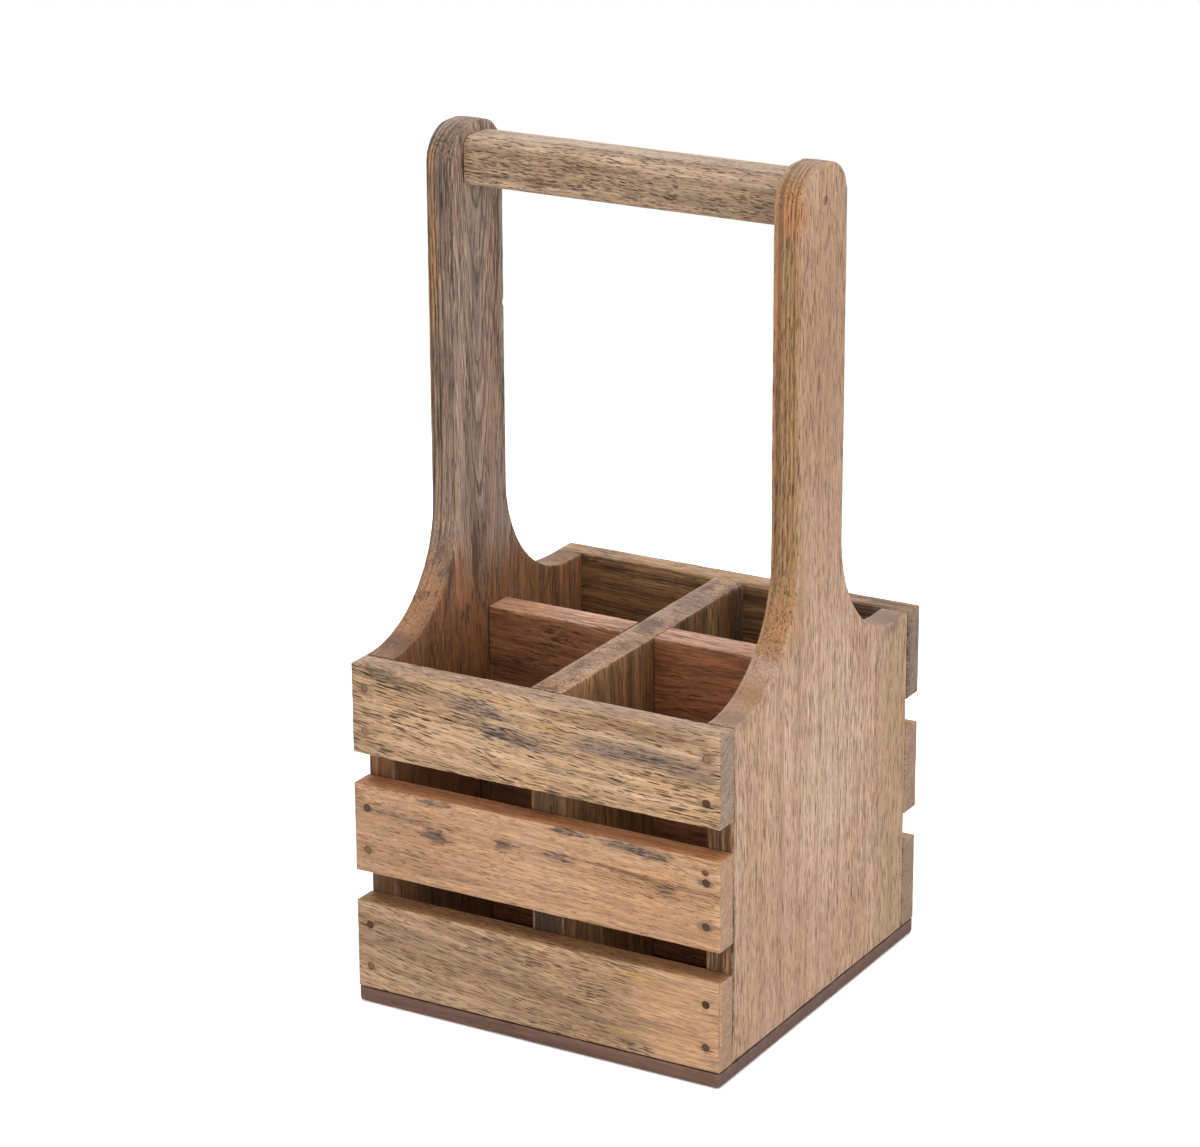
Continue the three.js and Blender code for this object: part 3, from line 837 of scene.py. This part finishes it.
slatLooks = {
    "front_top": dict(
        slide=(0, 0, 0), bow=(0.05, -0.0004, (0, 0, 1)), waver=4.0, pith=(-90, 60), ringSize=5.0,
        light=(212, 178, 144), mid=(192, 154, 118), dark=(116, 88, 66), cloud=(208, 164, 112),
        cloudShare=0.35, streakShare=0.35, lineShare=0.25, pore=(5.5, 0.50, 0.43), poreTone=(48, 33, 24),
        poreShare=1.0, hairShare=0.72, crowd=(0.80, 1.18), wisp=(6.0, 0.55), stainGround=0.5, sawMarks=0.24,
        faces=(((1, 0, 0), (143, 124, 110), 0.85), ((0, 0, 1), (182, 150, 126), 0.8)),
        blots=(
            ((-44, -68.5, 111.5), (24, 6, 4.5), (0, 6, 0), (138, 106, 78), 0.55, 1.0),
            ((-52, -68.5, 114), (12, 6, 3.0), (0, 6, 0), (84, 64, 48), 0.8, 0.45),
            ((-20, -68.5, 110), (14, 6, 4.0), (0, 8, 0), (74, 62, 56), 0.95, 0.45),
            ((-6, -68.5, 103), (16, 6, 4.0), (0, 6, 0), (72, 62, 58), 0.95, 0.45),
            ((8, -68.5, 108.5), (12, 6, 2.4), (0, 4, 0), (200, 164, 98), 0.7, 1.0),
            ((38, -68.5, 114.5), (32, 3, 3.2), (0, 0, 0), (140, 108, 82), 0.75, 1.0),
            ((66.5, -68.4, 104), (0.5, 0.5, 18), (0, 0, 0), (116, 88, 70), 0.6, 1.0),
            ((30, -68.5, 105.5), (28, 6, 4.5), (0, 0, 0), (146, 124, 108), 0.75, 1.0),
            ((40, -68.5, 105), (20, 6, 3.6), (0, 0, 0), (88, 70, 58), 0.8, 0.45),
            ((57, -68.5, 104), (14, 6, 4.0), (0, 0, 0), (132, 110, 94), 0.75, 1.0),
            ((47, -68.5, 112), (7, 6, 2.0), (0, 0, 0), (112, 82, 62), 0.7, 0.45),
            ((-38, -68.5, 93), (32, 6, 6), (0, 5, 0), (206, 164, 130), 0.55, 1.0),
        ),
    ),
    "front_middle": dict(
        slide=(320, 0, 0), bow=(0.03, 0.0, (0, 0, 1)), waver=6.0, pith=(-80, 90), ringSize=6.0,
        light=(206, 165, 130), mid=(188, 147, 113), dark=(120, 87, 62), cloud=(208, 154, 106),
        cloudShare=0.4, streakShare=0.3, lineShare=0.2, pore=(4.2, 0.46, 0.34), poreTone=(92, 61, 41),
        poreShare=0.8, wisp=(4.0, 0.60), stainGround=0.75,
        # the top faces get a darker orange-brown: partly the wood's own tone, partly painted shade from the
        # slat above
        faces=(((0, 0, 1), (188, 124, 80), 0.8), ((1, 0, 0), (163, 131, 108), 0.85)),
        blots=(
            ((-50, -68.5, 60), (26, 6, 16), (0, 0, 0), (176, 136, 106), 0.55, 1.0),
            ((-36.5, -68.5, 75.2), (5, 3, 1.2), (0, 0, 0), (74, 56, 44), 0.85, 0.45),
            ((-36, -68.5, 64), (4.8, 3, 2.6), (0, 0, 0), (70, 53, 43), 0.9, 0.45),
            ((-50, -68.5, 68), (14, 3, 1.6), (0, 3, 0), (112, 84, 64), 0.8, 0.45),
            ((-10.8, -68.5, 66), (4.6, 3, 2.0), (0, 0, 0), (80, 60, 47), 0.8, 0.45),
            ((9.2, -68.5, 66), (5.2, 3, 2.3), (0, 4, 0), (74, 56, 46), 0.85, 0.45),
            ((11.8, -68.5, 75.2), (6, 3, 1.7), (0, 0, 0), (74, 56, 46), 0.95, 0.45),
            ((34, -68.5, 74.4), (9, 3, 2.1), (0, 0, 0), (80, 64, 53), 0.9, 0.45),
            ((44, -68.5, 73.6), (7, 3, 2.0), (0, 0, 0), (82, 64, 51), 0.9, 0.45),
            ((46.9, -68.5, 62.6), (5.6, 3, 2.9), (0, 0, 0), (72, 56, 45), 0.9, 0.45),
            ((36, -68.5, 66), (20, 3, 0.8), (0, 4, 0), (104, 78, 60), 0.85, 1.0),
            ((44, -68.5, 54), (30, 3, 10), (0, 0, 0), (196, 144, 102), 0.4, 1.0),
            ((61.2, -68.5, 71.9), (1.5, 2, 1.5), (0, 0, 0), (108, 76, 60), 0.9, 0.6),
        ),
    ),
    "front_bottom": dict(
        slide=(640, 0, 0), bow=(0.07, -0.0003, (0, 0, 1)), waver=6.0, pith=(-70, 20), ringSize=5.5,
        light=(198, 164, 132), mid=(169, 137, 108), dark=(106, 80, 58), cloud=(182, 142, 100),
        cloudShare=0.4, streakShare=0.4, lineShare=0.25, pore=(5.2, 0.44, 0.41), poreTone=(70, 48, 33),
        poreShare=0.95, crowd=(0.88, 1.12), clear=((58, -68.5, 20), (32, 9, 26)),
        # the top faces get a darker orange-brown: partly the wood's own tone, partly painted shade from the
        # slat above
        faces=(((0, 0, 1), (156, 111, 67), 0.8), ((1, 0, 0), (163, 132, 107), 0.85)),
        blots=(
            ((56, -68.5, 20), (22, 1.5, 22), (0, 0, 0), (206, 160, 120), 0.85, 1.0),
            ((66.5, -68.4, 22), (0.55, 0.55, 24), (0, 0, 0), (112, 76, 50), 0.75, 1.0),
            ((7, -68.5, 28), (10, 4, 2.2), (0, 55, 0), (200, 160, 122), 0.6, 1.0),
            ((38, -68.5, 32), (7, 3, 2.4), (0, 0, 0), (192, 152, 92), 0.6, 0.6),
            ((31, -68.5, 12), (9, 3, 2.6), (0, 0, 0), (176, 140, 84), 0.6, 1.0),
            ((37, -68.5, 8), (8, 3, 2.2), (0, 10, 0), (70, 52, 42), 0.95, 0.45),
            ((22, -68.5, 24), (12, 3, 3.2), (0, 14, 0), (126, 98, 76), 0.7, 0.45),
        ),
    ),
    "rear_top": dict(
        # painted shade: the base tones are darkened for the inner face inside the box, and the top and
        # outer faces get lighter tones
        slide=(960, 5, 9), waver=5.0, pith=(50, 70), ringSize=3.5, light=(178, 134, 93), mid=(143, 105, 72),
        dark=(66, 46, 32), streakShare=0.7, lineShare=0.6, poreTone=(50, 34, 23),
        faces=(((0, 0, 1), (186, 150, 116), 0.75), ((1, 0, 0), (130, 113, 102), 0.85),
               ((0, 1, 0), (184, 150, 116), 0.7)),
        # painted shade: a dark patch on the inner face in the rear right compartment
        blots=(((40, 60, 98), (34, 3, 34), (0, 0, 0), (56, 38, 28), 0.9, 1.0),),
    ),
    "rear_middle": dict(
        slide=(1280, 5, 9), waver=5.0, pith=(60, 90), ringSize=5.0,
        light=(198, 158, 124), mid=(174, 134, 104),
        faces=(((1, 0, 0), (150, 124, 106), 0.85),),
    ),
    "rear_bottom": dict(
        slide=(1600, 5, 9), waver=5.0, pith=(60, 20), ringSize=5.0,
        light=(180, 150, 122), mid=(152, 123, 99),
        faces=(((1, 0, 0), (140, 118, 100), 0.85),),
    ),
}


def makeSlats():
    low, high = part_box("front_slat_bottom")
    pattern = sawBlank("slatPattern", low, high)
    roundEdges(pattern, sharp, *slat["ease"])
    score(pattern, (0, 1, 2))
    for face in ("front", "rear"):
        for level in ("bottom", "middle", "top"):
            node = face + "_slat_" + level
            board = copyOf(pattern, face + level.capitalize() + "Slat")
            board.data.transform(Matrix.Translation(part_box(node)[0] - low))
            weather(board)
            nails = [other for other in sorted(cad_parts) if other.startswith(node + "_nail")]
            sinkNails(board, nails)
            if node == "front_slat_middle":
                drillHole(board, *slat["spareHole"])
            look = {**slat["look"], **slatLooks[face + "_" + level]}
            spots = tuple((tuple(nailAxis(n)[0] / mm), *slat["nailStain"]) for n in nails)
            look["blots"] = look.get("blots", ()) + spots
            wood = woodFinish(board.name + "Wood", **look)
            handOver(board, node, wood)
    bpy.data.objects.remove(pattern)


makeSlats()
print("slats made")

# dividers, lapped where they cross
divider = {
    "ease": (0.5 * mm, 3),
    "lapHeight": 61.25 * mm,
    "lapRoom": 0.08 * mm,
    "sawOver": 5 * mm,  # how far a lap's saw goes past the board
    "nicks": [((5.7, 11.8, 117.3), (1.4, 2.2, 0.9), 0), ((-0.7, 24.7, 117.2), (1.6, 0.35, 0.5), 0)],
}


def lapBoard(name, low, high, axis, slotLow, slotHigh):
    board = sawBlank(name, low, high)
    roundEdges(board, lambda e: runs(e, axis) and sharp(e), *divider["ease"])
    cutAway(board, sawBlank("lapSlot", slotLow, slotHigh))
    score(board, (0, 1, 2))
    weather(board)
    return board


def makeDividers():
    longLow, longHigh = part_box("front_to_back_divider")
    crossLow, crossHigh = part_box("cross_divider")
    room = divider["lapRoom"]
    over = divider["sawOver"]

    slotLow = Vector((longLow.x - over, crossLow.y - room, longLow.z - over))
    slotHigh = Vector((longHigh.x + over, crossHigh.y + room, divider["lapHeight"] + room))
    board = lapBoard("lengthDivider", longLow, longHigh, 1, slotLow, slotHigh)
    for nick in divider["nicks"]:
        chisel(board, *nick)
    wood = woodFinish(
        "lengthDividerWood", turn=upGrain, slide=(150, 60, 8), waver=6.0, pith=(20, 30), ringSize=5.0,
        light=(168, 128, 90), mid=(132, 97, 66), dark=(82, 58, 41), streakShare=0.55, lineShare=0.35,
        pore=(9.0, 0.64, 0.40), poreTone=(58, 38, 25), endCalm=0.0, sawMarks=0.18,
        # the front end, behind the slats, is darkened as painted shade; the top gets its own paler tone
        faces=(((0, 0, 1), (194, 156, 129), 0.8), ((0, -1, 0), (102, 75, 52), 0.9)),
        blots=(
            ((0, 36, 117), (8, 12, 3), (0, 0, 18), (138, 112, 104), 0.75, 0.8),
            ((0, -56, 117), (8, 5, 3), (0, 0, 0), (168, 124, 94), 0.7, 0.8),
            ((-2, -34, 117), (3, 12, 3), (0, 0, 4), (132, 100, 86), 0.75, 0.6),
            ((2, -14, 117), (4, 14, 3), (0, 0, -6), (146, 108, 82), 0.7, 0.8),
            ((-1, 8, 117), (5, 9, 3), (0, 0, 10), (106, 78, 66), 0.8, 0.6),
            ((2, 24, 117), (3, 7, 3), (0, 0, 0), (112, 92, 86), 0.8, 0.45),
            ((-3, 50, 117), (3, 9, 3), (0, 0, 0), (118, 84, 66), 0.7, 0.6),
            # painted shade: the right face is darkened in the corner by the rear slat
            ((5.7, 54, 100), (3, 14, 40), (0, 0, 0), (66, 44, 31), 0.9, 1.0),
            # painted shade: the front end is darkened where it shows through the gaps between the slats
            ((0, -60, 42), (9, 4, 18), (0, 0, 0), (58, 41, 29), 0.85, 1.0),
            ((5.7, 44, 100), (3, 5, 30), (0, 0, 0), (150, 100, 63), 0.5, 1.0),
        ),
    )
    handOver(board, "front_to_back_divider", wood)

    slotLow = Vector((longLow.x - room, crossLow.y - over, divider["lapHeight"] - room))
    slotHigh = Vector((longHigh.x + room, crossHigh.y + over, crossHigh.z + over))
    board = lapBoard("crossDivider", crossLow, crossHigh, 0, slotLow, slotHigh)
    wood = woodFinish(
        "crossDividerWood", slide=(480, 60, 8), waver=10.0, pith=(18, 80), ringSize=6.0,
        light=(180, 125, 88), mid=(147, 99, 68), dark=(78, 48, 33), cloud=(156, 96, 64), streakShare=0.5,
        lineShare=0.3, pore=(8.0, 0.62, 0.37), poreTone=(58, 34, 22), poreShare=0.7,
        faces=(((0, 0, 1), (208, 161, 135), 0.85),),
        blots=(
            ((32, -1.75, 95), (34, 3, 30), (0, 0, 0), (196, 128, 88), 0.75, 1.0),
            ((32, 4, 117.5), (42, 8, 2.5), (0, 0, 0), (228, 176, 146), 0.6, 1.0),
            ((-18, 4, 117.5), (14, 8, 2.5), (0, 0, 0), (230, 176, 146), 0.7, 1.0),
            ((-44, 4, 117.5), (14, 8, 2.5), (0, 0, 0), (206, 150, 108), 0.7, 1.0),
            ((-34, -1.75, 108), (16, 3, 8), (0, -20, 0), (66, 39, 26), 0.9, 0.45),
        ),
    )
    handOver(board, "cross_divider", wood)


makeDividers()
print("dividers made")

# nails: one of each length, copied to every place
nail = {
    "headRadius": 1.35 * mm,
    "headThickness": 1.0 * mm,
    "shankRadius": 0.85 * mm,
    "pointLength": 3.0 * mm,
    "rim": (0.22 * mm, 2),
    "dish": 0.14 * mm,
    "dishInset": 0.4,  # of the head's radius
    "sides": 20,
    "rust": (1.1, 4.0, 0.65),  # pace, detail and roughness of each pattern on the steel
    "grit": (6.0, 2.0, 0.6),
    "batch": (0.043, 2.0, 0.5),
    "worn": (0.071, 2.0, 0.5),
    "steelTone": (70, 44, 31),
    "layers": (  # pattern, where it starts and is full, its share, its tone
        ("rust", 0.38, 0.64, 1.0, (100, 65, 45)),
        ("grit", 0.5, 0.75, 0.6, (54, 36, 27)),
        ("batch", 0.44, 0.62, 0.25, (130, 98, 76)),
        ("worn", 0.50, 0.62, 0.30, (102, 92, 86)),
    ),
    "metal": (0.35, 0.7, 0.10, 0.40),
    "gloss": (0.3, 0.7, 0.55, 0.8),
    "shine": 0.25,
    "bump": 0.5,
    "bumpDepth": 0.08 * mm,
    "puttyTone": (160, 128, 102),
    "puttyTurn": (0.3, 0.7),
    "puttySpread": 0.15,
    "putty": {  # share of a head that filler covers
        "front_slat_top_nail_left_upper": 0.5,
        "front_slat_top_nail_left_lower": 0.85,
        "front_slat_top_nail_right_upper": 0.85,
        "front_slat_middle_nail_left_lower": 0.5,
        "front_slat_bottom_nail_left_lower": 0.5,
        "rail_nail_right": 0.5,
    },
}


def forgeNail(length):
    deselect()
    thick = nail["headThickness"]
    bpy.ops.mesh.primitive_cylinder_add(vertices=nail["sides"], radius=nail["headRadius"], depth=thick,
                                        location=(0, 0, -thick / 2))
    forged = bpy.context.active_object
    bpy.ops.object.transform_apply(location=True, rotation=True, scale=True)
    roundEdges(forged, lambda e: all(near(v.co.z, 0) for v in e.verts), *nail["rim"])
    pick(forged, "FACE", lambda f: f.normal.z > bench["square"])
    bpy.ops.mesh.inset(thickness=nail["headRadius"] * nail["dishInset"])
    bpy.ops.transform.translate(value=(0, 0, -nail["dish"]))
    release()
    pick(forged, "FACE", lambda f: f.normal.z < -bench["square"])
    bpy.ops.mesh.inset(thickness=nail["headRadius"] - nail["shankRadius"])
    shank = length - thick - nail["pointLength"]
    bpy.ops.mesh.extrude_region_move(TRANSFORM_OT_translate={"value": (0, 0, -shank)})
    bpy.ops.mesh.extrude_region_move(TRANSFORM_OT_translate={"value": (0, 0, -nail["pointLength"])})
    bpy.ops.mesh.merge(type="CENTER")
    release()
    return forged


def nailFinish(putty):
    material, shader, kit = newMaterial("puttiedNail" if putty else "nailSteel")
    steel = kit.vector("MULTIPLY", kit.put("TexCoord", {}).outputs["Object"], (1 / mm,) * 3)
    patterns = {}
    for key in ("rust", "grit", "batch", "worn"):
        pace, detail, roughness = nail[key]
        patterns[key] = kit.noise(kit.vector("MULTIPLY", steel, (pace,) * 3), detail, roughness)
    colour = tone(*nail["steelTone"])
    for key, low, high, share, layerTone in nail["layers"]:
        colour = kit.blend(kit.ramp(patterns[key], low, high, 0.0, share), colour, tone(*layerTone))
    links = material.node_tree.links
    grit = patterns["grit"]
    if putty:
        spread = nail["puttySpread"]
        filled = kit.ramp(grit, *nail["puttyTurn"], putty - spread, putty + spread)
        colour = kit.blend(filled, colour, tone(*nail["puttyTone"]))
    else:
        links.new(kit.ramp(patterns["rust"], *nail["metal"]), shader.inputs["Metallic"])
    links.new(colour, shader.inputs["Base Color"])
    links.new(kit.ramp(grit, *nail["gloss"]), shader.inputs["Roughness"])
    shader.inputs["Specular IOR Level"].default_value = nail["shine"]
    bump = kit.put("Bump", {"Strength": nail["bump"], "Distance": nail["bumpDepth"], "Height": grit})
    links.new(bump.outputs[0], shader.inputs["Normal"])
    return material


def driveNails():
    shares = (0.0, *sorted(set(nail["putty"].values())))
    steels = {share: nailFinish(share) for share in shares}
    patterns = {}
    for node in sorted(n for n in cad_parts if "_nail_" in n):
        head, outward, reach = nailAxis(node)
        key = round(reach / mm)
        if key not in patterns:
            patterns[key] = forgeNail(reach)
        driven = copyOf(patterns[key], "nail." + node.replace("_nail", ""))
        driven.data.transform(setting(head, outward))
        handOver(driven, node, steels[nail["putty"].get(node, 0.0)])
    for pattern in patterns.values():
        bpy.data.objects.remove(pattern)


driveNails()
print("nails driven")
